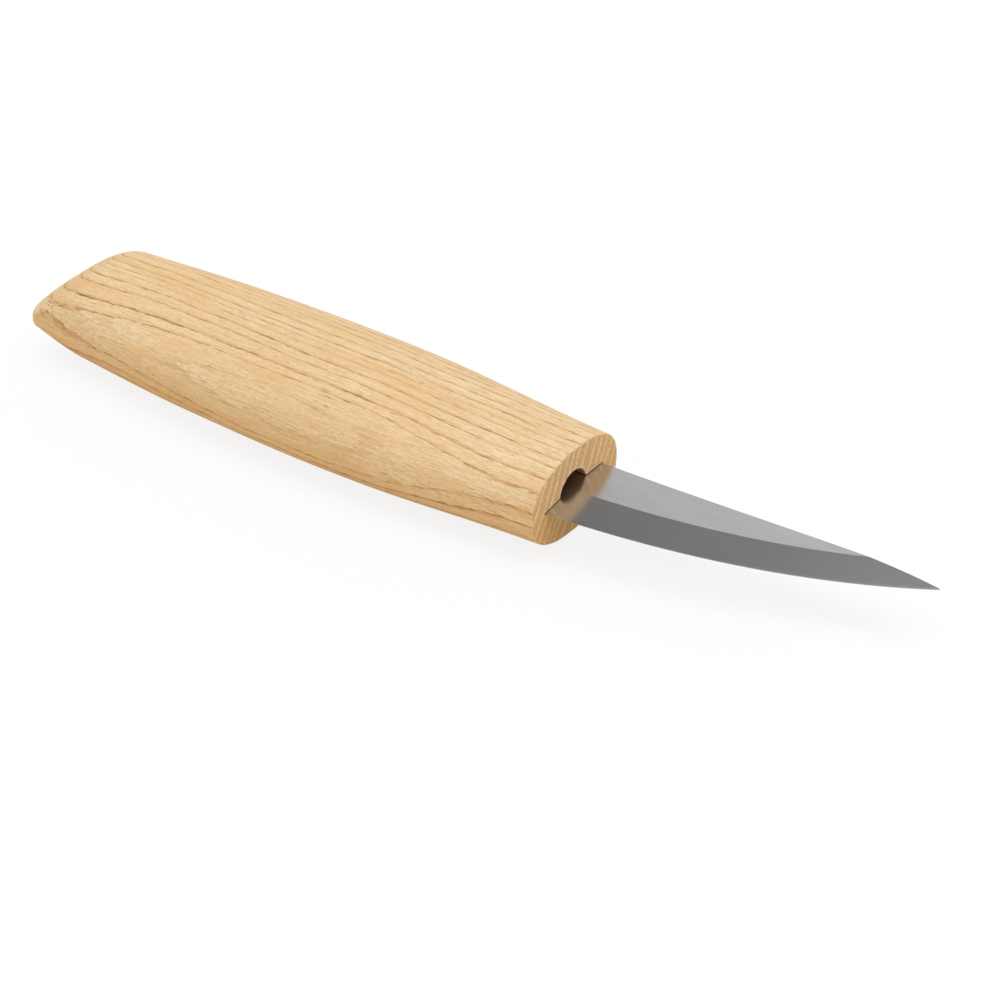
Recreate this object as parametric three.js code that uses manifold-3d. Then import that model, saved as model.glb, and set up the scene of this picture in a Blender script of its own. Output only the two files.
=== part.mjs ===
// A whittling knife: a one-piece ash handle, a flat steel blade whose narrow tang reaches deep
// into the handle, and the adhesive that holds the tang in its drilled hole.
//
// Millimetres. +X runs along the handle to the blade's tip, +Y to the spine, and +Z up.
// The origin is on the flat under the handle, halfway along the handle.

import * as THREE from 'three';
import { mergeVertices } from 'three/addons/utils/BufferGeometryUtils.js';
import Module from 'manifold-3d';

const wasm = await Module();
wasm.setup();

// The handle's length, and its half width and half thickness at four even stations,
// from the butt to the front face.
const HANDLE_LENGTH = 118;
const HALF_WIDTHS = [11.8, 15.5, 16.1, 13.2];
const HALF_THICKNESSES = [9.7, 10.0, 9.9, 8.6];
const HANDLE_STEPS_AROUND = 56;
const HANDLE_STEPS_ALONG = 30;

// The section is an oval of this power along the handle, and squarer at the very end.
const OVAL_POWER = 2.3;
const BUTT_OVAL_POWER = 3.2;

// The butt's flat sides ease down towards its end, and its corners are rounded: how far along
// each goes, how much half thickness or half width it takes off, and how full its curve is.
// The upper side eases down further, so the middle of the very end lies lower by the drop.
const BUTT_TAPER = { length: 12, depth: 8, power: 1.2 };
const BUTT_CORNER = { length: 1.6, depth: 6, power: 2 };
const BUTT_DROP = 1;
const BUTT_STEPS = 9;

// The slot cut to the section of the blade's heel, and the drilled hole for the tang.
const HOLE_RADIUS = 4.1;
const HOLE_DEPTH = 62;
const DRILL_POINT_DEPTH = 1.6;
const HOLE_Y = -0.6;
const HOLE_STEPS_AROUND = 40;
const SLOT_DEPTH = 12;
const SLOT_CLEARANCE = 0.15;
const CUTTER_OVERSHOOT = 1;

// The blade outside the handle, in the plane of the stock.
const STOCK_THICKNESS = 2;
const BLADE_LENGTH = 65.8;
const HEEL_EDGE_Y = -9.2;
const HEEL_SPINE_Y = 8.4;
const TIP_Y = 11.1;
const TIP_BLUNT = 0.25;
const SPINE_HEEL_CONTROL = [25, 9.1];
const SPINE_TIP_CONTROL = [56, 12.1];
const EDGE_CONTROL = [39.5, -5.6];
const OUTLINE_STEPS = 20;

// Both faces are ground from the grind line down to the edge, from the shoulders to the tip.
// The ground face is widest at the heel, and the edge keeps a thin land.
const BEVEL_WIDTH_HEEL = 7.6;
const BEVEL_WIDTH_TIP = 6.4;
const EDGE_LAND = 0.08;

// The part of the blade inside the handle.
const SHOULDER_DEPTH = 11.5;
const TANG_DEPTH = 58;
const TANG_WIDTH = 5.6;

// The adhesive fills the hole behind the shoulders, with a thin gap to the wood and the steel.
const ADHESIVE_START_DEPTH = 12.4;
const ADHESIVE_GAP = 0.12;

const FRONT_X = HANDLE_LENGTH / 2;
const BUTT_X = -HANDLE_LENGTH / 2;
const REST_FLAT_CUT = 0.3;
const MIDDLE_Z = Math.max(...HALF_THICKNESSES) - REST_FLAT_CUT;
const HALF_STOCK = STOCK_THICKNESS / 2;

const ASH = { color: 0xdcb585, roughness: 0.55, metalness: 0 };
const STEEL = { color: 0x9a9c9e, roughness: 0.32, metalness: 1 };
const ADHESIVE = { color: 0x8a6a3c, roughness: 0.35, metalness: 0 };

// A closed mesh as a solid for cutting and joining.
function solidOf(geometry) {
  geometry.deleteAttribute('normal');
  geometry.deleteAttribute('uv');
  const merged = mergeVertices(geometry);
  const vertProperties = new Float32Array(merged.attributes.position.array);
  const triVerts = new Uint32Array(merged.index.array);
  return new wasm.Manifold(new wasm.Mesh({ numProp: 3, vertProperties, triVerts }));
}

// A solid as a named part of the knife.
function partOf(name, solid, look) {
  const mesh = solid.getMesh();
  const geometry = new THREE.BufferGeometry();
  geometry.setAttribute('position', new THREE.BufferAttribute(mesh.vertProperties, 3));
  geometry.setIndex(new THREE.BufferAttribute(mesh.triVerts, 1));
  geometry.computeVertexNormals();
  const part = new THREE.Mesh(geometry, new THREE.MeshStandardMaterial(look));
  part.name = name;
  return part;
}

// A closed body along +X. place(step, run) gives point `step` of the ring at `run`, which goes
// from 0 to 1 along the body; the steps turn from +Y towards +Z. The ends are flat.
function loft(stepsAround, stepsAlong, place) {
  const tube = new THREE.CylinderGeometry(1, 1, 1, stepsAround, stepsAlong);
  tube.deleteAttribute('normal');
  tube.deleteAttribute('uv');
  const body = mergeVertices(tube);
  const position = body.attributes.position;
  const stepAngle = (2 * Math.PI) / stepsAround;
  for (let i = 0; i < position.count; i += 1) {
    const run = Math.round((position.getY(i) + 0.5) * stepsAlong) / stepsAlong;
    const angle = Math.atan2(position.getX(i), position.getZ(i));
    const step = (Math.round(angle / stepAngle) + stepsAround) % stepsAround;
    const onAxis = Math.hypot(position.getX(i), position.getZ(i)) < 0.5;
    const point = onAxis ? ringCentre(stepsAround, run, place) : place(step, run);
    position.setXYZ(i, point.x, point.y, point.z);
  }
  return body;
}

function ringCentre(stepsAround, run, place) {
  const centre = new THREE.Vector3();
  for (let step = 0; step < stepsAround; step += 1) {
    centre.add(place(step, run));
  }
  return centre.divideScalar(stepsAround);
}

// A smooth curve through values at even stations along the handle, read at x.
function profile(values) {
  const points = values.map((value, i) => new THREE.Vector2(i / (values.length - 1), value));
  const spline = new THREE.SplineCurve(points);
  return (x) => spline.getPoint((x - BUTT_X) / HANDLE_LENGTH).y;
}

const halfWidthAt = profile(HALF_WIDTHS);
const halfThicknessAt = profile(HALF_THICKNESSES);

// What a rounding takes off at x: all its depth at the butt's very end, and none past its length.
function roundingAt(x, rounding) {
  const toGo = Math.max(0, 1 - (x - BUTT_X) / rounding.length);
  return rounding.depth * (1 - (1 - toGo ** rounding.power) ** (1 / rounding.power));
}

// The rings of the handle lie close together round the butt and evenly along the rest.
function handleStation(run) {
  const step = run * HANDLE_STEPS_ALONG;
  if (step < BUTT_STEPS) {
    return BUTT_X + BUTT_TAPER.length * (1 - Math.cos((Math.PI / 2) * (step / BUTT_STEPS)));
  }
  const even = (step - BUTT_STEPS) / (HANDLE_STEPS_ALONG - BUTT_STEPS);
  return BUTT_X + BUTT_TAPER.length + even * (HANDLE_LENGTH - BUTT_TAPER.length);
}

function ovalCoordinate(unit, power) {
  return Math.sign(unit) * Math.abs(unit) ** (2 / power);
}

function handleBlank() {
  return solidOf(loft(HANDLE_STEPS_AROUND, HANDLE_STEPS_ALONG, (step, run) => {
    const x = handleStation(run);
    const halfWidth = halfWidthAt(x) - roundingAt(x, BUTT_CORNER);
    const taper = roundingAt(x, BUTT_TAPER);
    const halfThickness = halfThicknessAt(x) - taper;
    const middleZ = MIDDLE_Z - BUTT_DROP * (taper / BUTT_TAPER.depth);
    const toButt = Math.max(0, 1 - (x - BUTT_X) / BUTT_TAPER.length);
    const power = THREE.MathUtils.lerp(OVAL_POWER, BUTT_OVAL_POWER, toButt);
    const angle = (2 * Math.PI * step) / HANDLE_STEPS_AROUND;
    return new THREE.Vector3(
      x,
      halfWidth * ovalCoordinate(Math.cos(angle), power),
      middleZ + halfThickness * ovalCoordinate(Math.sin(angle), power),
    );
  }));
}

// Everything under z = 0 comes off, which leaves the flat that the knife lies on.
function restFlatCutter() {
  const size = 2 * HANDLE_LENGTH;
  const block = new THREE.BoxGeometry(size, size, size);
  block.translate(0, 0, -size / 2);
  return solidOf(block);
}

// A round bar along X with a drill-pointed end, from the bottom of the hole out to `mouth`.
// x = 0 is the handle's front face, and the gap keeps the bar clear of the hole's wall.
function drilledBar(mouth, gap) {
  const radius = HOLE_RADIUS - gap;
  const bar = new THREE.LatheGeometry([
    new THREE.Vector2(0, -HOLE_DEPTH - DRILL_POINT_DEPTH + 2 * gap),
    new THREE.Vector2(radius, -HOLE_DEPTH + gap),
    new THREE.Vector2(radius, mouth),
    new THREE.Vector2(0, mouth),
  ], HOLE_STEPS_AROUND);
  bar.rotateZ(-Math.PI / 2);
  return bar;
}

function tangHole() {
  const drill = drilledBar(CUTTER_OVERSHOOT, 0);
  drill.translate(FRONT_X, HOLE_Y, MIDDLE_Z);
  return solidOf(drill);
}

// The slot's section lies in the YZ plane: flat over the blade's cheeks, and narrowing with the
// ground faces to the edge.
function heelSlot() {
  const halfHeight = HALF_STOCK + SLOT_CLEARANCE;
  const spineEndY = HEEL_SPINE_Y + SLOT_CLEARANCE;
  const edgeEndY = HEEL_EDGE_Y - SLOT_CLEARANCE;
  const grindY = HEEL_EDGE_Y + BEVEL_WIDTH_HEEL;
  const section = new THREE.Shape([
    new THREE.Vector2(spineEndY, -halfHeight),
    new THREE.Vector2(spineEndY, halfHeight),
    new THREE.Vector2(grindY, halfHeight),
    new THREE.Vector2(edgeEndY, SLOT_CLEARANCE),
    new THREE.Vector2(edgeEndY, -SLOT_CLEARANCE),
    new THREE.Vector2(grindY, -halfHeight),
  ]);
  const slot = new THREE.ExtrudeGeometry(section, {
    depth: SLOT_DEPTH + CUTTER_OVERSHOOT,
    bevelEnabled: false,
  });
  const acrossToY = new THREE.Vector3(0, 1, 0);
  const upToZ = new THREE.Vector3(0, 0, 1);
  const depthToX = new THREE.Vector3(1, 0, 0);
  slot.applyMatrix4(new THREE.Matrix4().makeBasis(acrossToY, upToZ, depthToX));
  slot.translate(FRONT_X - SLOT_DEPTH, 0, MIDDLE_Z);
  return solidOf(slot);
}

function handle() {
  const blank = handleBlank().subtract(restFlatCutter());
  return partOf('handle', blank.subtract(tangHole()).subtract(heelSlot()), ASH);
}

// The cutting edge in plan, from the heel to the tip, seen from the front face.
function edgeCurve() {
  return new THREE.QuadraticBezierCurve(
    new THREE.Vector2(0, HEEL_EDGE_Y),
    new THREE.Vector2(...EDGE_CONTROL),
    new THREE.Vector2(BLADE_LENGTH, TIP_Y - TIP_BLUNT),
  );
}

// The stock cut to outline: leaf-shaped blade, full-width heel, shoulders and narrow tang.
function bladeOutline() {
  const edge = edgeCurve();
  const outline = new THREE.Shape();
  outline.moveTo(-TANG_DEPTH, HOLE_Y - TANG_WIDTH / 2);
  outline.lineTo(-SHOULDER_DEPTH, HOLE_Y - TANG_WIDTH / 2);
  outline.lineTo(-SHOULDER_DEPTH, HEEL_EDGE_Y);
  outline.lineTo(0, HEEL_EDGE_Y);
  outline.quadraticCurveTo(edge.v1.x, edge.v1.y, edge.v2.x, edge.v2.y);
  outline.lineTo(BLADE_LENGTH, TIP_Y);
  outline.bezierCurveTo(...SPINE_TIP_CONTROL, ...SPINE_HEEL_CONTROL, 0, HEEL_SPINE_Y);
  outline.lineTo(-SHOULDER_DEPTH, HEEL_SPINE_Y);
  outline.lineTo(-SHOULDER_DEPTH, HOLE_Y + TANG_WIDTH / 2);
  outline.lineTo(-TANG_DEPTH, HOLE_Y + TANG_WIDTH / 2);
  outline.closePath();
  return outline;
}

// What the grinding takes off the upper face: a wedge that follows the edge, straight back past
// the shoulders and on past the tip.
function bevelCutter() {
  const edge = edgeCurve();
  const reachOut = 3;
  const reachIn = 2;
  const pastShoulders = SHOULDER_DEPTH + CUTTER_OVERSHOOT;
  const stepsAlong = OUTLINE_STEPS + 2;
  return loft(3, stepsAlong, (step, run) => {
    const along = run * stepsAlong - 1;
    const t = THREE.MathUtils.clamp(along / OUTLINE_STEPS, 0, 1);
    const tangent = along < 0 ? new THREE.Vector2(1, 0) : edge.getTangent(t);
    const inward = new THREE.Vector2(-tangent.y, tangent.x);
    const pastEnd = along < 0 ? -pastShoulders : Math.max(0, along - OUTLINE_STEPS) * reachOut;
    const foot = edge.getPoint(t).addScaledVector(tangent, pastEnd);
    const width = THREE.MathUtils.lerp(BEVEL_WIDTH_HEEL, BEVEL_WIDTH_TIP, t);
    const slope = (HALF_STOCK - EDGE_LAND / 2) / width;
    const top = EDGE_LAND / 2 + slope * (width + reachIn);
    const corners = [
      { across: width + reachIn, height: top },
      { across: -reachOut, height: top },
      { across: -reachOut, height: EDGE_LAND / 2 - slope * reachOut },
    ];
    const place = foot.addScaledVector(inward, corners[step].across);
    return new THREE.Vector3(place.x, place.y, corners[step].height);
  });
}

function bladeSolid() {
  const stock = new THREE.ExtrudeGeometry(bladeOutline(), {
    depth: STOCK_THICKNESS,
    bevelEnabled: false,
    curveSegments: OUTLINE_STEPS,
  });
  stock.translate(0, 0, -HALF_STOCK);
  const upper = solidOf(bevelCutter());
  const lower = upper.mirror([0, 0, 1]);
  return solidOf(stock).subtract(upper).subtract(lower);
}

function blade() {
  const part = partOf('blade', bladeSolid(), STEEL);
  part.position.set(FRONT_X, 0, MIDDLE_Z);
  return part;
}

// The set adhesive takes the hole's shape, drill point and all, less the tang inside it.
function tangAdhesive() {
  const plug = drilledBar(-ADHESIVE_START_DEPTH, ADHESIVE_GAP);
  const length = TANG_DEPTH + ADHESIVE_GAP;
  const width = TANG_WIDTH + 2 * ADHESIVE_GAP;
  const cavity = new THREE.BoxGeometry(length, width, STOCK_THICKNESS + 2 * ADHESIVE_GAP);
  cavity.translate(-length / 2, 0, 0);
  const part = partOf('tang_adhesive', solidOf(plug).subtract(solidOf(cavity)), ADHESIVE);
  part.position.set(FRONT_X, HOLE_Y, MIDDLE_Z);
  return part;
}

const knife = new THREE.Group();
knife.add(handle());
knife.add(blade());
knife.add(tangAdhesive());

export default knife;
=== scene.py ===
"""The looks of a whittling knife: an oiled ash handle and a satin steel blade, on a pale floor.

The boxes of the CAD nodes give the places. The handle and the blade are rebuilt as fine meshes
from the same measures as the CAD solids, which are faceted; the adhesive inside keeps its CAD mesh.
Shapes are worked out in millimetres in the CAD's frame, and go to Blender in metres.
"""

import math

import bpy
import numpy as np
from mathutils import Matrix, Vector, noise


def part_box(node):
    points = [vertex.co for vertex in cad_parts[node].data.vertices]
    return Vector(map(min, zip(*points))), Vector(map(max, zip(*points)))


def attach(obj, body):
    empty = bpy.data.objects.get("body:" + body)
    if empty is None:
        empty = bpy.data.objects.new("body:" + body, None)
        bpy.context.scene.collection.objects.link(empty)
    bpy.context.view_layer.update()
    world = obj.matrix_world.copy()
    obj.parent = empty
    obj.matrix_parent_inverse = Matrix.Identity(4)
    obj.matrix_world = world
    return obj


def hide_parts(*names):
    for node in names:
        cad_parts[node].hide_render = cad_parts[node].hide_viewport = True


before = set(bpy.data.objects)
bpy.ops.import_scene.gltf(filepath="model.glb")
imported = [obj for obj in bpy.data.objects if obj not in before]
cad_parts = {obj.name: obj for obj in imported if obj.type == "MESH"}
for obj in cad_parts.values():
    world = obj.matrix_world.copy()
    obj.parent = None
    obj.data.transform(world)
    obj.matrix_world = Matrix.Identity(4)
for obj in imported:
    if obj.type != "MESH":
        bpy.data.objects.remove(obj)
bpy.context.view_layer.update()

MM = 0.001

# The boxes of the handle and the blade, in millimetres.
handle_low, handle_high = (np.array(corner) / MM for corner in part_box("handle"))
blade_low, blade_high = (np.array(corner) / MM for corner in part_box("blade"))
BUTT_X = handle_low[0]
FRONT_X = handle_high[0]
HANDLE_LENGTH = FRONT_X - BUTT_X
BLADE_LENGTH = blade_high[0] - FRONT_X
HALF_STOCK = (blade_high[2] - blade_low[2]) / 2
MIDDLE_Z = blade_low[2] + HALF_STOCK

# The handle: half widths and half thicknesses at even stations from the butt to the front.
HALF_WIDTHS = [11.8, 15.5, 16.1, 13.2]
HALF_THICKNESSES = [9.7, 10.0, 9.9, 8.6]
OVAL_POWER = 2.3
BUTT_OVAL_POWER = 3.2
BUTT_TAPER = {"length": 12.0, "depth": 8.0, "power": 1.2}
BUTT_CORNER = {"length": 1.6, "depth": 6.0, "power": 2.0}
BUTT_DROP = 1.0
FRONT_EDGE_RADIUS = 0.3
FRONT_EDGE_CHIPS = 0.3
REST_SOFTNESS = 0.1
SANDING_DEPTH = 0.07
AROUND = 288
BUTT_RINGS = 30
BODY_STEP = 0.65

# The drilled hole and the sawn slot in the handle's front face.
HOLE_RADIUS = 4.1
HOLE_Y = -0.6
HOLE_DEPTH = 62.0
DRILL_POINT_DEPTH = 1.6
SLOT_DEPTH = 12.0
SLOT_CLEARANCE = 0.15
LIP_RADIUS = 0.22
LIP_RAGGEDNESS = 0.1

# The blade in plan, from the handle's front face.
HEEL_EDGE_Y = -9.2
HEEL_SPINE_Y = 8.4
TIP_Y = 11.1
TIP_BLUNT = 0.25
TIP_RADIUS = 0.5
EDGE_CONTROL = (39.5, -5.6)
SPINE_CONTROLS = ((25.0, 9.1), (56.0, 12.1))
BEVEL_WIDTH_HEEL = 7.6
BEVEL_WIDTH_TIP = 6.4
HONED_WIDTH = 0.4
EDGE_SLANT = math.radians(20)
HONED_HALF_THICKNESS = 0.09
EDGE_HALF_THICKNESS = 0.015
SPINE_CHAMFER = 0.13
GRIND_SOFTNESS = 0.1
SHOULDER_DEPTH = 11.5
TANG_DEPTH = 58.0
TANG_WIDTH = 5.6
BLADE_STEP = 0.5
FINE_TIP_LENGTH = 6.0


# ------------------------------------------------------------------ meshes made of rings
def piece_from_rings(name, rings, materials, slot_of_ring=lambda k: 0, sharp_degrees=35):
    """A closed mesh: each ring joins the next with quads, and a fan closes each end."""
    count = len(rings[0])
    points = np.concatenate([*rings, [rings[0].mean(0)], [rings[-1].mean(0)]]) * MM
    first_pole = count * len(rings)
    last = first_pole - count
    nexts = [(i + 1) % count for i in range(count)]
    faces = [(first_pole, nexts[i], i) for i in range(count)]
    slots = [slot_of_ring(0)] * count
    for k in range(len(rings) - 1):
        a, b = k * count, (k + 1) * count
        faces += [(a + i, a + nexts[i], b + nexts[i], b + i) for i in range(count)]
        slots += [slot_of_ring(k)] * count
    faces += [(last + i, last + nexts[i], first_pole + 1) for i in range(count)]
    slots += [slot_of_ring(len(rings) - 1)] * count
    mesh = bpy.data.meshes.new(name)
    mesh.from_pydata(points.tolist(), [], faces)
    for material in materials:
        mesh.materials.append(material)
    mesh.polygons.foreach_set("material_index", slots)
    mesh.polygons.foreach_set("use_smooth", [True] * len(faces))
    mesh.set_sharp_from_angle(angle=math.radians(sharp_degrees))
    mesh.update()
    piece = bpy.data.objects.new(name, mesh)
    bpy.context.scene.collection.objects.link(piece)
    return piece


def curve_through(values):
    """The Catmull-Rom curve through values at even steps, read at a share from 0 to 1."""
    values = np.array(values)

    def at(share):
        place = min(max(share, 0), 1) * (len(values) - 1)
        index = min(int(place), len(values) - 2)
        t = place - index
        p1, p2 = values[index], values[index + 1]
        p0, p3 = values[max(index - 1, 0)], values[min(index + 2, len(values) - 1)]
        v1, v2 = (p2 - p0) / 2, (p3 - p1) / 2
        return (2 * p1 - 2 * p2 + v1 + v2) * t**3 + (3 * p2 - 3 * p1 - 2 * v1 - v2) * t**2 + v1 * t + p1

    return at


# ------------------------------------------------------------------ the handle's mesh
half_width_at = curve_through(HALF_WIDTHS)
half_thickness_at = curve_through(HALF_THICKNESSES)


def rounding_at(x, rounding):
    """What a rounding takes off at x: all its depth at the butt's end, none past its length."""
    to_go = min(1, max(0, 1 - (x - BUTT_X) / rounding["length"]))
    fullness = (1 - to_go ** rounding["power"]) ** (1 / rounding["power"])
    return rounding["depth"] * (1 - fullness)


def handle_section(x, inset=0.0):
    """The handle's oval at x, as y and z of evenly turned points, brought in by the inset."""
    share = (x - BUTT_X) / HANDLE_LENGTH
    taper = rounding_at(x, BUTT_TAPER)
    half_width = half_width_at(share) - rounding_at(x, BUTT_CORNER)
    half_thickness = half_thickness_at(share) - taper
    to_butt = max(0, 1 - (x - BUTT_X) / BUTT_TAPER["length"])
    power = OVAL_POWER + (BUTT_OVAL_POWER - OVAL_POWER) * to_butt
    turn = 2 * np.pi * np.arange(AROUND) / AROUND
    y, z = np.cos(turn), np.sin(turn)
    reach = (abs(y / half_width) ** power + abs(z / half_thickness) ** power) ** (-1 / power)
    y, z = reach * y, reach * z
    normal_y = np.sign(y) * abs(y / half_width) ** (power - 1) / half_width
    normal_z = np.sign(z) * abs(z / half_thickness) ** (power - 1) / half_thickness
    length = np.hypot(normal_y, normal_z)
    y = y - inset * normal_y / length
    z = z - inset * normal_z / length
    return y, z + MIDDLE_Z - BUTT_DROP * taper / BUTT_TAPER["depth"]


def sanded_inset(x, y, z):
    """The faint hand-sanded unevenness of the surface, always inwards."""
    place = Vector((x / 16, y / 7, z / 7))
    return SANDING_DEPTH * (0.5 + 0.5 * noise.noise(place))


def handle_ring(x, station, edge_inset=0.0):
    """A ring at x whose shape is the section at the station, sanded, and flat underneath."""
    y, z = handle_section(station)
    inset = np.array([sanded_inset(x, y[i], z[i]) for i in range(AROUND)]) + edge_inset
    y, z = handle_section(station, inset)
    z = (z + np.sqrt(z * z + REST_SOFTNESS**2)) / 2
    return np.stack([np.full(AROUND, x), y, z], 1)


def slot_corners():
    """The slot's section, from the hole's centre: the blade's section with its clearance."""
    half_height = HALF_STOCK + SLOT_CLEARANCE
    upper = [
        (HEEL_SPINE_Y + SLOT_CLEARANCE, half_height),
        (HEEL_EDGE_Y + BEVEL_WIDTH_HEEL, half_height),
        (HEEL_EDGE_Y - SLOT_CLEARANCE, SLOT_CLEARANCE),
    ]
    lower = [(y, -z) for y, z in reversed(upper)]
    return np.array(upper + lower) - (HOLE_Y, 0)


def opening_rays(outline):
    """The directions from the hole's centre to an outline, as angles, with the nearest ones moved
    onto the slot's corners so that these stay crisp."""
    rays = np.arctan2(outline[:, 2] - MIDDLE_Z, outline[:, 1] - HOLE_Y)
    for y, z in slot_corners():
        corner = math.atan2(z, y)
        apart = abs(np.angle(np.exp(1j * (rays - corner))))
        rays[np.argmin(apart)] = corner
    return rays


def opening_ring(x, rays, grow=0.0, slotted=True):
    """The outline of the hole and slot at x, grown by a little round its lip."""
    directions = np.stack([np.cos(rays), np.sin(rays)], 1)
    reach = np.full(len(rays), HOLE_RADIUS)
    if slotted:
        corners = slot_corners()
        for a, b in zip(corners, np.roll(corners, -1, axis=0)):
            side = b - a
            outward = np.array([side[1], -side[0]]) / np.linalg.norm(side)
            to_side = outward @ a
            along = directions @ outward
            hit = to_side / np.where(abs(along) < 1e-9, 1e-9, along)
            place = ((directions * hit[:, None] - a) @ side) / (side @ side)
            crosses = (hit > 0) & (place > -1e-6) & (place < 1 + 1e-6)
            reach = np.where(crosses, np.maximum(reach, hit), reach)
    reach = reach + grow
    y, z = HOLE_Y + reach * directions[:, 0], MIDDLE_Z + reach * directions[:, 1]
    return np.stack([np.full(len(rays), x), y, z], 1)


def lip_raggedness(rays):
    """Torn fibres round the mouth of the hole."""
    turn = [Vector((4 * math.cos(ray), 4 * math.sin(ray), 0.3)) for ray in rays]
    return np.array([LIP_RAGGEDNESS * noise.fractal(place, 1.0, 2.0, 3) for place in turn])


def edge_chips():
    """Small torn places along the sawn edge of the front face."""
    turn = 2 * np.pi * np.arange(AROUND) / AROUND
    places = [Vector((5 * math.cos(a), 3 * math.sin(a), 7.7)) for a in turn]
    chips = [noise.fractal(place, 0.7, 2.1, 4) for place in places]
    return FRONT_EDGE_CHIPS * np.clip(chips, 0, 1)


def ash_handle(wood, cut_wood):
    rings = []
    cap = handle_ring(BUTT_X, BUTT_X)
    centre = cap.mean(0)
    for share in (0.12, 0.4, 0.7, 0.9):
        rings.append(centre + (cap - centre) * share)
    for k in range(BUTT_RINGS):
        x = BUTT_X + BUTT_TAPER["length"] * (1 - math.cos(math.pi / 2 * k / BUTT_RINGS))
        rings.append(handle_ring(x, x))
    body_start = BUTT_X + BUTT_TAPER["length"]
    body_end = FRONT_X - FRONT_EDGE_RADIUS
    for x in np.linspace(body_start, body_end, round((body_end - body_start) / BODY_STEP)):
        rings.append(handle_ring(x, x))
    chips = edge_chips()
    for turn in np.linspace(0, math.pi / 2, 8)[1:]:
        x = body_end + FRONT_EDGE_RADIUS * math.sin(turn)
        inset = (FRONT_EDGE_RADIUS + chips) * (1 - math.cos(turn))
        rings.append(handle_ring(x, body_end, inset))
    rays = opening_rays(rings[-1])
    ragged = lip_raggedness(rays)
    outer = rings[-1]
    inner = opening_ring(FRONT_X, rays, LIP_RADIUS + ragged)
    for share in np.linspace(0, 1, 14)[1:]:
        rings.append(outer + (inner - outer) * share)
    for turn in np.linspace(0, math.pi / 2, 5)[1:]:
        x = FRONT_X - LIP_RADIUS * (1 - math.cos(turn))
        rings.append(opening_ring(x, rays, LIP_RADIUS * (1 - math.sin(turn)) + ragged))
    walls_start = len(rings) - 1
    for share in np.linspace(0, 1, 9)[1:]:
        x = FRONT_X - LIP_RADIUS - share * (SLOT_DEPTH - LIP_RADIUS)
        rings.append(opening_ring(x, rays, ragged * (1 - share)))
    for depth in np.linspace(SLOT_DEPTH, HOLE_DEPTH, 8):
        rings.append(opening_ring(FRONT_X - depth, rays, slotted=False))
    bottom = rings[-1].mean(0) - [DRILL_POINT_DEPTH, 0, 0]
    rings.append(bottom + (rings[-1] - bottom) * 0.1)

    def slot_of_ring(k):
        return 1 if k >= walls_start else 0

    return piece_from_rings("ash_handle", rings, [wood, cut_wood], slot_of_ring)


# ------------------------------------------------------------------ the blade's mesh
def bezier(points, steps):
    """A Bezier curve's points, for two or three or four control points."""
    t = np.linspace(0, 1, steps + 1)[:, None]
    points = [np.array(p, float) + 0 * t for p in points]
    while len(points) > 1:
        points = [a + (b - a) * t for a, b in zip(points, points[1:])]
    return points[0]


EDGE_POINTS = bezier([(0, HEEL_EDGE_Y), EDGE_CONTROL, (BLADE_LENGTH, TIP_Y - TIP_BLUNT)], 600)
SPINE_POINTS = bezier([(0, HEEL_SPINE_Y), *SPINE_CONTROLS, (BLADE_LENGTH, TIP_Y)], 200)


def grind_line():
    """The line where the ground face meets the flat of the blade."""
    along = np.gradient(EDGE_POINTS, axis=0)
    along /= np.linalg.norm(along, axis=1)[:, None]
    inward = np.stack([-along[:, 1], along[:, 0]], 1)
    width = np.linspace(BEVEL_WIDTH_HEEL, BEVEL_WIDTH_TIP, len(EDGE_POINTS))
    return EDGE_POINTS + inward * width[:, None]


GRIND_POINTS = grind_line()


def half_thickness_of_blade(x, y):
    """Half the blade's thickness at places in plan, from their distance to the edge."""
    shape = np.shape(y)
    places = np.stack([np.full(shape, x), y], -1).reshape(-1, 1, 2)
    apart = np.linalg.norm(places - EDGE_POINTS[None], axis=2)
    nearest = apart.argmin(1)
    distance = apart[np.arange(len(nearest)), nearest]
    width = BEVEL_WIDTH_HEEL + (BEVEL_WIDTH_TIP - BEVEL_WIDTH_HEEL) * nearest / (len(EDGE_POINTS) - 1)
    honed = EDGE_HALF_THICKNESS + (HONED_HALF_THICKNESS - EDGE_HALF_THICKNESS) * distance / HONED_WIDTH
    share = (distance - HONED_WIDTH) / (width - HONED_WIDTH)
    ground = HONED_HALF_THICKNESS + (HALF_STOCK - HONED_HALF_THICKNESS) * share
    return np.minimum(HALF_STOCK, np.where(distance < HONED_WIDTH, honed, ground)).reshape(shape)


def blade_side(x):
    """y and half thickness from the spine to the edge, at x from the handle's front face."""
    edge_y = np.interp(x, *EDGE_POINTS.T)
    spine_y = np.interp(x, *SPINE_POINTS.T)
    grind_y = np.interp(x, *GRIND_POINTS.T)
    span = spine_y - edge_y
    chamfer = min(SPINE_CHAMFER, 0.1 * span)
    honed = min(HONED_WIDTH / math.cos(EDGE_SLANT), 0.3 * span)
    soft = GRIND_SOFTNESS * min(1, span / 3)
    top = spine_y - chamfer
    grind_y = min(grind_y, top - 5 * soft)
    grind_y = max(grind_y, edge_y + honed + 5 * soft)
    flat = np.linspace(top - 0.4 * soft, grind_y + 3 * soft, 9)
    grind = grind_y + soft * np.array([1, 0, -1])
    bevel = np.linspace(grind_y - 3 * soft, edge_y + honed + 1.2 * soft, 11)
    edge = [edge_y + honed, edge_y + 0.5 * honed, edge_y]
    y = np.concatenate([[top], flat, grind, bevel, edge])
    z = half_thickness_of_blade(x, y)
    spine_z = max(z[0] - chamfer, 0.3 * z[0])
    return np.concatenate([[spine_y], y]), np.concatenate([[spine_z], z])


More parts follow.
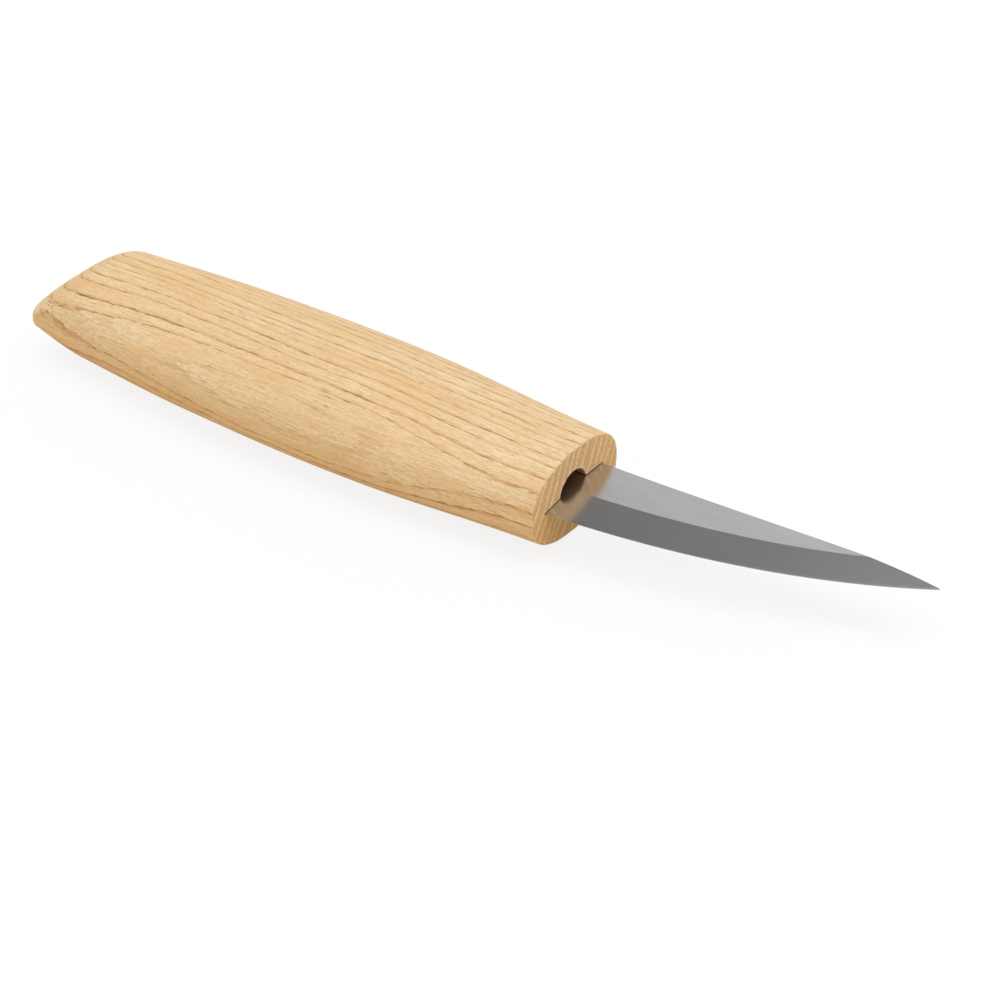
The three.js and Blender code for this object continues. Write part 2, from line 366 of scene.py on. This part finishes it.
def mirrored_ring(x, y, z):
    """A ring through y and z on the upper side and back through them on the lower side."""
    y = np.concatenate([y, y[::-1]])
    z = np.concatenate([z, -z[::-1]])
    return np.stack([np.full(len(y), FRONT_X + x), y, MIDDLE_Z + z], 1)


def knife_blade(steel):
    heel_y, heel_z = blade_side(0.0)
    square_z = np.full(len(heel_z), HALF_STOCK)
    square_z[0] -= SPINE_CHAMFER
    square_z[-1] -= SPINE_CHAMFER
    tang_y = HOLE_Y + TANG_WIDTH * ((heel_y - heel_y[-1]) / (heel_y[0] - heel_y[-1]) - 0.5)
    rings = []
    for x in np.linspace(-TANG_DEPTH, -SHOULDER_DEPTH, 6):
        rings.append(mirrored_ring(x, tang_y, square_z))
    for x in np.linspace(-SHOULDER_DEPTH, 0, 6)[:-1]:
        rings.append(mirrored_ring(x, heel_y, heel_z))
    round_start = BLADE_LENGTH - TIP_RADIUS
    near_tip = BLADE_LENGTH - FINE_TIP_LENGTH
    stations = [
        *np.linspace(0, near_tip, round(near_tip / BLADE_STEP)),
        *np.linspace(near_tip, round_start, 28)[1:],
    ]
    for x in stations:
        rings.append(mirrored_ring(x, *blade_side(x)))
    for turn in np.linspace(0, math.pi / 2, 7)[1:-1]:
        x = round_start + TIP_RADIUS * math.sin(turn)
        y, z = blade_side(x)
        middle = (y[0] + y[-1]) / 2
        rings.append(mirrored_ring(x, middle + (y - middle) * math.cos(turn), z * math.cos(turn)))
    return piece_from_rings("knife_blade", rings, [steel], sharp_degrees=30)


# ------------------------------------------------------------------ node graphs
class Graph:
    """Adds nodes to a tree, and hands back their output sockets."""

    def __init__(self, tree):
        self.tree = tree
        self.tree.nodes.clear()

    def node(self, kind, inputs=None, **settings):
        made = self.tree.nodes.new(kind)
        for name, value in settings.items():
            setattr(made, name, value)
        for name, value in (inputs or {}).items():
            if isinstance(value, bpy.types.NodeSocket):
                self.tree.links.new(value, made.inputs[name])
            else:
                made.inputs[name].default_value = value
        return made

    def math(self, operation, *values, clamp=False):
        inputs = dict(enumerate(values))
        return self.node("ShaderNodeMath", inputs, operation=operation, use_clamp=clamp).outputs[0]

    def vector(self, x, y, z):
        return self.node("ShaderNodeCombineXYZ", {"X": x, "Y": y, "Z": z}).outputs[0]

    def dot(self, vector, direction):
        inputs = {0: vector, 1: direction}
        return self.node("ShaderNodeVectorMath", inputs, operation="DOT_PRODUCT").outputs["Value"]

    def stretch(self, vector, scale):
        inputs = {0: vector, 1: scale}
        return self.node("ShaderNodeVectorMath", inputs, operation="MULTIPLY").outputs[0]

    def vector_length(self, vector, scale):
        """The length of a vector after its sides are scaled."""
        inputs = {0: self.stretch(vector, scale)}
        return self.node("ShaderNodeVectorMath", inputs, operation="LENGTH").outputs["Value"]

    def noise(self, vector, detail=2.0, roughness=0.5, distortion=0.0):
        inputs = {"Vector": vector, "Scale": 1.0, "Detail": detail, "Roughness": roughness,
                  "Distortion": distortion}
        return self.node("ShaderNodeTexNoise", inputs).outputs["Fac"]

    def centred_noise(self, vector, size, **settings):
        """Noise about zero, of roughly the given size from its lowest to its highest."""
        centred = self.math("SUBTRACT", self.noise(vector, **settings), 0.5)
        return self.math("MULTIPLY", centred, 2 * size)

    def total(self, first, *others):
        for other in others:
            first = self.math("ADD", first, other)
        return first

    def between(self, value, low, high, out_low=0.0, out_high=1.0):
        """Smoothly from out_low to out_high as the value goes from low to high."""
        return self.linear(value, low, high, out_low, out_high, interpolation_type="SMOOTHSTEP")

    def linear(self, value, low, high, out_low, out_high, **settings):
        """Evenly from out_low to out_high as the value goes from low to high."""
        inputs = {
            "Value": value,
            "From Min": low,
            "From Max": high,
            "To Min": out_low,
            "To Max": out_high,
        }
        return self.node("ShaderNodeMapRange", inputs, **settings).outputs[0]

    def ramp(self, value, stops):
        """A grey level or colour that follows straight lines between (place, level) stops."""
        made = self.node("ShaderNodeValToRGB", {0: value})
        elements = made.color_ramp.elements
        while len(elements) < len(stops):
            elements.new(0.5)
        for element, (place, level) in zip(elements, stops):
            element.position = place
            element.color = (*level, 1) if isinstance(level, tuple) else (level, level, level, 1)
        return made.outputs["Color"]

    def mix(self, factor, a, b, blend="MIX"):
        inputs = {"Factor": factor, 6: a, 7: b}
        made = self.node("ShaderNodeMix", data_type="RGBA", blend_type=blend)
        for name, value in inputs.items():
            if isinstance(value, bpy.types.NodeSocket):
                self.tree.links.new(value, made.inputs[name])
            else:
                made.inputs[name].default_value = value
        return made.outputs[2]

    def steps_curve(self, value, knots):
        """A count that goes up by one at each knot, evenly in between."""
        low, high = knots[0], knots[-1]
        share = self.linear(value, low, high, 0.0, 1.0)
        made = self.node("ShaderNodeFloatCurve", {"Value": share})
        points = made.mapping.curves[0].points
        for i, knot in enumerate(knots[1:-1], 1):
            points.new((knot - low) / (high - low), i / (len(knots) - 1))
        for point in points:
            point.handle_type = "VECTOR"
        made.mapping.update()
        return self.math("MULTIPLY", made.outputs[0], len(knots) - 1)


def rgb(red, green, blue):
    """A linear colour from the usual 0 to 255 display levels."""
    def linear(level):
        share = level / 255
        return share / 12.92 if share <= 0.04045 else ((share + 0.055) / 1.055) ** 2.4
    return (linear(red), linear(green), linear(blue), 1)


def new_material(name):
    material = bpy.data.materials.new(name)
    material.use_nodes = True
    return material, Graph(material.node_tree)


def finish_material(graph, surface):
    shader = graph.node("ShaderNodeBsdfPrincipled", surface)
    graph.node("ShaderNodeOutputMaterial", {"Surface": shader.outputs[0]})
    return shader


def millimetres(graph):
    """The place on the piece in millimetres, from the front face and the blade's middle."""
    place = graph.node("ShaderNodeTexCoord").outputs["Object"]
    inputs = {0: place, 1: (1 / MM,) * 3, 2: (-FRONT_X, 0, -MIDDLE_Z)}
    return graph.node("ShaderNodeVectorMath", inputs, operation="MULTIPLY_ADD").outputs[0]


# ------------------------------------------------------------------ the ash wood
# The growth rings are nearly flat sheets that lean over the handle. RING_AXIS points across them,
# back towards the heart of the tree, and RING_ENDS are the places along it where a ring ends.
RING_AXIS = (0.0, -0.90, 0.436)
RING_ALONG = (0.0, 0.436, 0.90)
RING_RADIUS = 130.0
RING_BOW = 0.0003
RING_BOW_MIDDLE = -52.0
RING_ENDS = [-18.4, -16.6, -14.9, -12.6, -10.9, -9.3, -7.2, -5.4, -3.6, -1.8, 0.9, 3.1, 4.6, 6.1,
             8.1, 9.8, 12.0, 13.3, 15.1, 17.0]

# Over the butt's taper the rings sweep and twist, so that their lines run on over it, and within a
# few millimetres of the end they fade. The rings past INNER_WOOD are fainter everywhere.
BUTT_SWEEP = {"depth": 21.8, "near_y": -12.3, "far_y": 7.7}
BUTT_TWIST = {"slope": -0.28, "about_z": 5.0, "start_x": -88.0, "end_x": -110.0}
BUTT_FADE = (0.8, 5.0)
INNER_WOOD = 13.6
INNER_FAINTNESS = 0.25
FAINTEST_RING = 0.62

# Waves in the rings: noise steps per millimetre along and across the handle, size, and detail.
RING_WAVES = [(0.022, 0.10, 0.9, 1), (0.12, 0.7, 0.28, 2), (0.7, 3.0, 0.16, 1)]

# How the darkening, the porous line, and the end grain's pale line go through one ring, as
# (share of the ring, strength).
RING_BAND = [(0.0, 0.0), (0.5, 0.05), (0.76, 0.3), (0.89, 0.8), (0.94, 1.0), (0.985, 1.0), (1.0, 0.15)]
RING_LINE = [(0.0, 0.0), (0.8, 0.0), (0.9, 0.8), (0.94, 1.0), (0.985, 1.0), (1.0, 0.0)]
RING_PALE_LINE = [
    (0.0, 0.75), (0.08, 0.2), (0.16, 0.0), (0.74, 0.0), (0.86, 0.8), (0.95, 1.0), (1.0, 0.9),
]

# Patterns in the wood, as noise steps per millimetre along and across the handle.
GRAIN = {
    "dashes": (0.30, 3.6),
    "pores": (0.55, 7.0),
    "fibres": (0.16, 3.4),
    "grit": (0.9, 5.5),
    "flecks": (0.22, 2.1),
    "clouds": (0.03, 0.12),
    "warm": (0.04, 0.3),
    "speckle": (1.2, 3.4),
    "uneven": (0.5, 0.9),
}

ASH = {
    "pale": rgb(238, 212, 170),
    "tan": rgb(233, 202, 154),
    "fibre": rgb(219, 184, 134),
    "bright_grit": rgb(244, 222, 184),
    "dull_grit": rgb(204, 164, 114),
    "warm": rgb(228, 180, 120),
    "band": rgb(218, 160, 98),
    "line": rgb(204, 156, 100),
    "dash": rgb(160, 114, 68),
    "fleck": rgb(150, 104, 60),
    "end_light": rgb(246, 206, 150),
    "end_dark": rgb(210, 160, 104),
    "end_line": rgb(253, 230, 192),
    "end_pore": rgb(104, 66, 36),
    "hole_rim": rgb(244, 212, 166),
}


def ring_place(g, place):
    """How far a point lies across the growth rings, with their bow, sweep and waves."""
    x, y, z = g.node("ShaderNodeSeparateXYZ", {0: place}).outputs
    across = g.dot(place, RING_AXIS)
    along = g.dot(place, RING_ALONG)
    round_ring = g.math("MULTIPLY", g.math("MULTIPLY", along, along), -0.5 / RING_RADIUS)
    from_middle = g.math("SUBTRACT", x, RING_BOW_MIDDLE)
    bow = g.math("MULTIPLY", g.math("MULTIPLY", from_middle, from_middle), RING_BOW)
    from_butt = g.math("ADD", x, HANDLE_LENGTH)
    to_butt = g.math("SUBTRACT", 1.0, g.math("DIVIDE", from_butt, BUTT_TAPER["length"]), clamp=True)
    full = g.math("SUBTRACT", 1.0, g.math("POWER", to_butt, BUTT_TAPER["power"]))
    rounding = g.math("SUBTRACT", 1.0, g.math("POWER", full, 1 / BUTT_TAPER["power"]))
    reach = g.linear(y, BUTT_SWEEP["near_y"], BUTT_SWEEP["far_y"], 0.0, BUTT_SWEEP["depth"])
    sweep = g.math("MULTIPLY", rounding, reach)
    turned = g.between(x, BUTT_TWIST["start_x"], BUTT_TWIST["end_x"], 0.0, BUTT_TWIST["slope"])
    twist = g.math("MULTIPLY", g.math("SUBTRACT", z, BUTT_TWIST["about_z"]), turned)
    waves = [
        g.centred_noise(g.stretch(place, (lengthwise, crosswise, crosswise)), size, detail=detail)
        for lengthwise, crosswise, size, detail in RING_WAVES
    ]
    return g.total(across, round_ring, bow, sweep, twist, *waves)


def grain(g, place, pattern, **settings):
    """One of the wood's patterns, drawn out along the handle."""
    lengthwise, crosswise = GRAIN[pattern]
    return g.noise(g.stretch(place, (lengthwise, crosswise, crosswise)), **settings)


def ash_wood():
    material, g = new_material("ash_wood")
    place = millimetres(g)
    depth = ring_place(g, place)
    count = g.steps_curve(depth, RING_ENDS)
    share = g.math("FRACT", count)
    ring_number = g.math("FLOOR", count)
    luck = g.node("ShaderNodeTexWhiteNoise", {"W": ring_number}, noise_dimensions="1D").outputs[0]
    inner = g.between(depth, INNER_WOOD, INNER_WOOD + 0.1)

    # each ring darkens slowly, then ends with a thin porous line and a sharp edge
    band = g.ramp(share, RING_BAND)
    line = g.ramp(share, RING_LINE)
    from_butt = g.math("ADD", g.dot(place, (1, 0, 0)), HANDLE_LENGTH)
    faint = g.between(luck, 0, 1, FAINTEST_RING, 1.0)
    faint = g.math("MULTIPLY", faint, g.between(inner, 0, 1, 1.0, INNER_FAINTNESS))
    faint = g.math("MULTIPLY", faint, g.between(from_butt, *BUTT_FADE))
    band = g.math("MULTIPLY", band, faint)
    line = g.math("MULTIPLY", line, faint)

    dashes = g.between(grain(g, place, "dashes", detail=2), 0.44, 0.62)
    pores = g.between(grain(g, place, "pores", detail=1), 0.52, 0.66)
    fibres = grain(g, place, "fibres", detail=4, roughness=0.62)
    grit = grain(g, place, "grit", detail=3, roughness=0.6)
    flecks = g.between(grain(g, place, "flecks", detail=2), 0.66, 0.76)
    clouds = grain(g, place, "clouds", detail=1)
    warm = grain(g, place, "warm", detail=2)

    late = g.mix(g.between(clouds, 0.35, 0.65), ASH["pale"], ASH["tan"])
    late = g.mix(g.between(fibres, 0.42, 0.62, 0.0, 0.8), late, ASH["fibre"])
    late = g.mix(g.between(grit, 0.5, 0.68, 0.0, 0.45), late, ASH["bright_grit"])
    late = g.mix(g.between(grit, 0.5, 0.32, 0.0, 0.5), late, ASH["dull_grit"])
    late = g.mix(g.between(warm, 0.5, 0.68, 0.0, 0.4), late, ASH["warm"])
    late = g.mix(g.math("MULTIPLY", band, 0.62), late, ASH["band"])
    dark = g.mix(dashes, ASH["line"], ASH["dash"])
    long_grain = g.mix(g.math("MULTIPLY", line, g.between(dashes, 0, 1, 0.2, 0.95)), late, dark)
    long_grain = g.mix(g.math("MULTIPLY", flecks, 0.5), long_grain, ASH["fleck"])

    normal = g.node("ShaderNodeNewGeometry").outputs["Normal"]
    facing_end = g.math("ABSOLUTE", g.dot(normal, (1, 0, 0)))
    end_grain = g.between(facing_end, 0.80, 0.97)
    pale_line = g.ramp(share, RING_PALE_LINE)
    speckle = grain(g, place, "speckle", detail=3, roughness=0.7)
    end_colour = g.mix(g.between(speckle, 0.4, 0.62), ASH["end_light"], ASH["end_dark"])
    uneven = g.between(grain(g, place, "uneven", detail=2), 0.36, 0.6, 0.45, 0.95)
    end_colour = g.mix(g.math("MULTIPLY", pale_line, uneven), end_colour, ASH["end_line"])
    end_colour = g.mix(g.math("MULTIPLY", pores, 0.45), end_colour, ASH["end_pore"])
    from_centre = g.node("ShaderNodeVectorMath", {0: place, 1: (0, -HOLE_Y, 0)}).outputs[0]
    from_hole = g.vector_length(from_centre, (0, 1, 1))
    rim = g.between(from_hole, HOLE_RADIUS + 0.25, HOLE_RADIUS + 0.6, 0.75, 0.0)
    end_colour = g.mix(rim, end_colour, ASH["hole_rim"])
    colour = g.mix(end_grain, long_grain, end_colour)

    hollows = g.math("MULTIPLY", g.math("MULTIPLY", dashes, line), 1.2)
    height = g.math("SUBTRACT", g.math("MULTIPLY", fibres, 0.8), hollows)
    bump = g.node("ShaderNodeBump", {"Height": height, "Strength": 0.5, "Distance": 0.00006}).outputs[0]
    roughness = g.total(0.44, g.math("MULTIPLY", line, 0.12), g.math("MULTIPLY", end_grain, 0.2))
    finish_material(g, {"Base Color": colour, "Roughness": roughness, "Normal": bump,
                        "Specular IOR Level": 0.3})
    return material


def cut_wood():
    """The rough walls inside the hole and slot, in browns darker than the outer wood: painted shade in the
    recess.
    """
    material, g = new_material("cut_wood")
    place = millimetres(g)
    marks = g.noise(g.stretch(place, (2.0, 0.8, 0.8)), detail=4, roughness=0.7)
    # Painted shade: these browns are darker than the outer ash because the walls lie in the hole's shade.
    colour = g.mix(marks, rgb(132, 86, 52), rgb(190, 140, 92))
    bump = g.node("ShaderNodeBump", {"Height": marks, "Strength": 0.8, "Distance": 0.0002}).outputs[0]
    finish_material(g, {"Base Color": colour, "Roughness": 0.9, "Normal": bump})
    return material


# ------------------------------------------------------------------ the steel and the adhesive
# The steel's reflectances: two patchy tones, the brushing, and the scratches.
STEEL_DARK = (0.57, 0.57, 0.575, 1)
STEEL_LIGHT = (0.66, 0.66, 0.66, 1)
STEEL_BRUSHED = (0.45, 0.45, 0.455, 1)
STEEL_SCRATCHED = (0.40, 0.40, 0.41, 1)

# Seen from above, the steel would mirror the strong light overhead and go white, so it dims as its
# mirrored direction goes up. It only dims for cameras nearer than CLOSE_VIEW, in metres, so that
# a colour baked from farther off stays the plain colour of the steel on both faces.
MIRROR_RISE = (0.84, 0.93)
MIRROR_PAINTED_SHADE = 0.7
CLOSE_VIEW = (0.9, 0.98)


def blade_steel():
    material, g = new_material("blade_steel")
    place = millimetres(g)
    brushing = g.noise(g.stretch(place, (0.06, 7.0, 7.0)), detail=5, roughness=0.7)
    long_marks = g.noise(g.stretch(place, (0.035, 2.6, 2.6)), detail=5, roughness=0.75)
    scratches = g.between(long_marks, 0.55, 0.75)
    patches = g.noise(g.stretch(place, (0.06, 0.16, 0.16)), detail=2)
    colour = g.mix(patches, STEEL_DARK, STEEL_LIGHT)
    colour = g.mix(g.between(brushing, 0.35, 0.65, 0.0, 0.25), colour, STEEL_BRUSHED)
    colour = g.mix(g.math("MULTIPLY", scratches, 0.16), colour, STEEL_SCRATCHED)
    # Painted shade: the steel's colour is darkened as its mirrored direction goes up, only for cameras
    # nearer than CLOSE_VIEW.
    mirrored = g.node("ShaderNodeTexCoord").outputs["Reflection"]
    ray_length = g.node("ShaderNodeLightPath").outputs["Ray Length"]
    close = g.between(ray_length, *CLOSE_VIEW, 1.0, 0.0)
    upward = g.between(g.dot(mirrored, (0, 0, 1)), *MIRROR_RISE, 0.0, MIRROR_PAINTED_SHADE)
    painted_shade_factor = g.math("SUBTRACT", 1.0, g.math("MULTIPLY", close, upward))
    colour = g.stretch(colour, g.vector(painted_shade_factor, painted_shade_factor, painted_shade_factor))
    roughness = g.total(0.19, g.math("MULTIPLY", brushing, 0.08), g.math("MULTIPLY", scratches, 0.02))
    bump = g.node("ShaderNodeBump", {"Height": brushing, "Strength": 0.3, "Distance": 0.000004}).outputs[0]
    finish_material(g, {"Base Color": colour, "Metallic": 1.0, "Roughness": roughness, "Normal": bump,
                        "Anisotropic": 0.35, "Tangent": g.vector(0.0, 1.0, 0.0)})
    return material


def set_adhesive():
    material, g = new_material("set_adhesive")
    place = millimetres(g)
    bubbles = g.between(g.noise(g.stretch(place, (1.1, 1.1, 1.1)), detail=3), 0.58, 0.72)
    colour = g.mix(bubbles, rgb(138, 106, 60), rgb(176, 146, 96))
    bump = g.node("ShaderNodeBump", {"Height": bubbles, "Strength": 0.4, "Distance": 0.0002}).outputs[0]
    finish_material(g, {"Base Color": colour, "Roughness": 0.35, "Normal": bump})
    return material


# ------------------------------------------------------------------ floor, light and camera
# The floor looks white and glows faintly, so that shadows on it stay soft, but it throws less
# light back up at the knife.
FLOOR_SEEN = (0.93, 0.93, 0.93, 1)
FLOOR_BOUNCE = (0.77, 0.64, 0.45, 1)
FLOOR_GLOW = 0.85
FLOOR_HALF_SIDE = 6.0
FLOOR_DROP = 0.2 * MM

# The room's brightness, as (share of the way up, brightness). The light is stronger overhead.
WALL_LEVELS = [(0.0, 1.0), (0.43, 1.0), (0.475, 0.2), (0.66, 0.22), (0.76, 1.0), (1.0, 1.0)]
NEAR_LEVELS = [(0.0, 0.72), (0.66, 0.72), (0.76, 1.0), (1.0, 1.0)]
OVERHEAD = (0.66, 0.76)
OVERHEAD_EXTRA = 2.5
TO_WALL = (-0.58, 0.815, 0)
ALONG_WALL = (0.815, 0.58, 0)


def pale_floor():
    mesh = bpy.data.meshes.new("floor")
    half = FLOOR_HALF_SIDE
    corners = [(-half, -half, 0), (half, -half, 0), (half, half, 0), (-half, half, 0)]
    mesh.from_pydata(corners, [], [(0, 1, 2, 3)])
    material, g = new_material("floor_paper")
    seen = g.node("ShaderNodeLightPath").outputs["Is Camera Ray"]
    paper = g.node("ShaderNodeBsdfDiffuse", {"Color": g.mix(seen, FLOOR_BOUNCE, FLOOR_SEEN)}).outputs[0]
    glow = g.node("ShaderNodeEmission", {"Color": (1, 1, 1, 1), "Strength": 1.0}).outputs[0]
    share = g.math("MULTIPLY", seen, FLOOR_GLOW)
    mixed = g.node("ShaderNodeMixShader", {0: share, 1: paper, 2: glow}).outputs[0]
    g.node("ShaderNodeOutputMaterial", {"Surface": mixed})
    mesh.materials.append(material)
    floor = bpy.data.objects.new("floor", mesh)
    bpy.context.scene.collection.objects.link(floor)
    floor.location.z = -FLOOR_DROP


def studio_light():
    """A pale room: a white wall behind the knife, a broad light above, and a dimmer near side."""
    world = bpy.data.worlds.new("studio")
    bpy.context.scene.world = world
    world.use_nodes = True
    g = Graph(world.node_tree)
    direction = g.node("ShaderNodeTexCoord").outputs["Generated"]
    up = g.dot(direction, (0, 0, 1))
    elevation = g.math("DIVIDE", g.math("ARCSINE", up), math.pi / 2)
    wall = g.ramp(elevation, WALL_LEVELS)
    near = g.ramp(elevation, NEAR_LEVELS)
    wall_shade = g.between(g.dot(direction, ALONG_WALL), -0.12, 0.22, 0.42, 0.0)
    wall = g.mix(wall_shade, wall, (0, 0, 0, 1))
    toward_wall = g.between(g.dot(direction, TO_WALL), -0.1, 0.25)
    room = g.mix(toward_wall, near, wall)
    seen = g.node("ShaderNodeLightPath").outputs["Is Camera Ray"]
    colour = g.mix(seen, room, (1, 1, 1, 1))
    unseen = g.math("SUBTRACT", 1.0, seen)
    extra = g.math("MULTIPLY", unseen, g.between(elevation, *OVERHEAD, 0.0, OVERHEAD_EXTRA))
    strength = g.math("ADD", 1.0, extra)
    background = g.node("ShaderNodeBackground", {"Color": colour, "Strength": strength})
    g.node("ShaderNodeOutputWorld", {"Surface": background.outputs[0]})


CAMERA_TARGET = Vector((50.204, -10.265, 9.7)) * MM
CAMERA_AZIMUTH = math.radians(35.446)
CAMERA_ELEVATION = math.radians(34.956)
CAMERA_DISTANCE = 519.252 * MM
CAMERA_LENS = 108
CAMERA_SENSOR = 36


def camera():
    data = bpy.data.cameras.new("camera")
    data.lens = CAMERA_LENS
    data.sensor_width = CAMERA_SENSOR
    data.clip_start = 10 * MM
    piece = bpy.data.objects.new("camera", data)
    bpy.context.scene.collection.objects.link(piece)
    back = Vector((
        math.sin(CAMERA_AZIMUTH) * math.cos(CAMERA_ELEVATION),
        -math.cos(CAMERA_AZIMUTH) * math.cos(CAMERA_ELEVATION),
        math.sin(CAMERA_ELEVATION),
    ))
    piece.location = CAMERA_TARGET + back * CAMERA_DISTANCE
    piece.rotation_euler = back.to_track_quat("Z", "Y").to_euler()
    bpy.context.scene.camera = piece


# ------------------------------------------------------------------ the scene
bpy.context.scene.view_settings.view_transform = "Standard"

handle = ash_handle(ash_wood(), cut_wood())
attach(handle, "root")
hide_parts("handle")

blade = knife_blade(blade_steel())
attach(blade, "root")
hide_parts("blade")

adhesive = bpy.data.objects["tang_adhesive"]
adhesive.data.materials.clear()
adhesive.data.materials.append(set_adhesive())

pale_floor()
studio_light()
camera()
